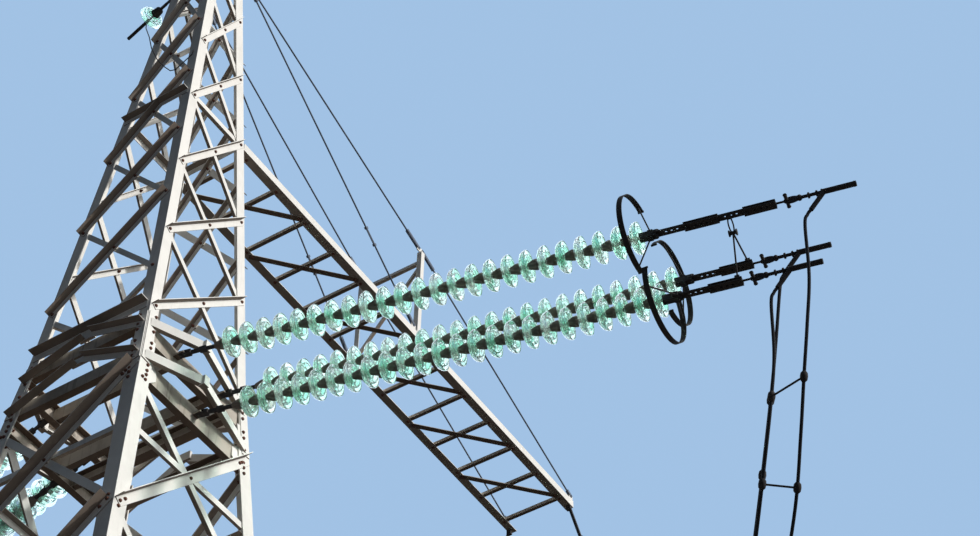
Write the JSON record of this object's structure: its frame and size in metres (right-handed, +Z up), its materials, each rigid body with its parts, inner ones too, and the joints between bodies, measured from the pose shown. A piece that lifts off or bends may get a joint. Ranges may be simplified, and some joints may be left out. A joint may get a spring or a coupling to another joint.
{
  "type": "lattice transmission pylon",
  "caption": "Free-standing four-legged lattice steel pylon for a line angle, with green glass tension strings to both sides, a stayed side arm and a jumper loop.",
  "frame": {"origin": "on the ground at the middle of the four feet", "axes": "+Z up, +X along the side arm, +Y along the line toward the rear strings"},
  "size_m": [9.9791, 14.0824, 23.9],
  "materials": {
    "galvanised_steel": "dull weathered zinc",
    "weathered_steel": "dull zinc with brown dirt",
    "green_glass": "toughened green glass",
    "iron_caps": "dull galvanised iron",
    "dark_fittings": "dull dark steel",
    "stay_cable": "dull stranded steel",
    "conductor": "dull weathered strands"
  },
  "bodies": {
    "root": {"base_shoes": "galvanised_steel", "lower_leg_front_left": "galvanised_steel", "lower_leg_front_right": "galvanised_steel", "lower_leg_rear_right": "galvanised_steel", "lower_leg_rear_left": "galvanised_steel", "upper_leg_front_left": "galvanised_steel", "upper_leg_front_right": "galvanised_steel", "upper_leg_rear_right": "galvanised_steel", "upper_leg_rear_left": "galvanised_steel", "leg_splices": "galvanised_steel", "lower_bracing_front": "galvanised_steel", "lower_bracing_right": "galvanised_steel", "lower_bracing_rear": "galvanised_steel", "lower_bracing_left": "galvanised_steel", "mast_bracing_front": "galvanised_steel", "mast_bracing_right": "galvanised_steel", "mast_bracing_rear": "galvanised_steel", "mast_bracing_left": "galvanised_steel", "waist_braces": "galvanised_steel", "upper_ring_beams": "weathered_steel", "lower_ring_beams": "weathered_steel", "string_brackets": "galvanised_steel", "mast_head": "galvanised_steel", "arm_chord_front": "galvanised_steel", "arm_chord_rear": "galvanised_steel", "arm_lacing": "weathered_steel", "arm_portal": "galvanised_steel", "stays_front": "stay_cable", "stays_rear": "stay_cable", "front_glass_left": "green_glass", "front_glass_right": "green_glass", "front_glass_low": "green_glass", "rear_glass_left": "green_glass", "rear_glass_right": "green_glass", "rear_glass_low": "green_glass", "front_caps": "iron_caps", "rear_caps": "iron_caps", "front_beam_fittings": "dark_fittings", "rear_beam_fittings": "dark_fittings", "front_link_plates": "dark_fittings", "rear_link_plates": "dark_fittings", "front_guard_rings": "dark_fittings", "rear_guard_rings": "dark_fittings", "front_dead_ends": "dark_fittings", "rear_dead_ends": "dark_fittings", "jumper_cables": "conductor", "jumper_spacers": "dark_fittings", "jumper_string_glass": "green_glass", "jumper_string_fittings": "dark_fittings", "front_earth_wire_set": "dark_fittings", "rear_earth_wire_set": "dark_fittings", "earth_wire_glass": "green_glass", "earth_bonds": "dark_fittings"}
  },
  "joints": []
}
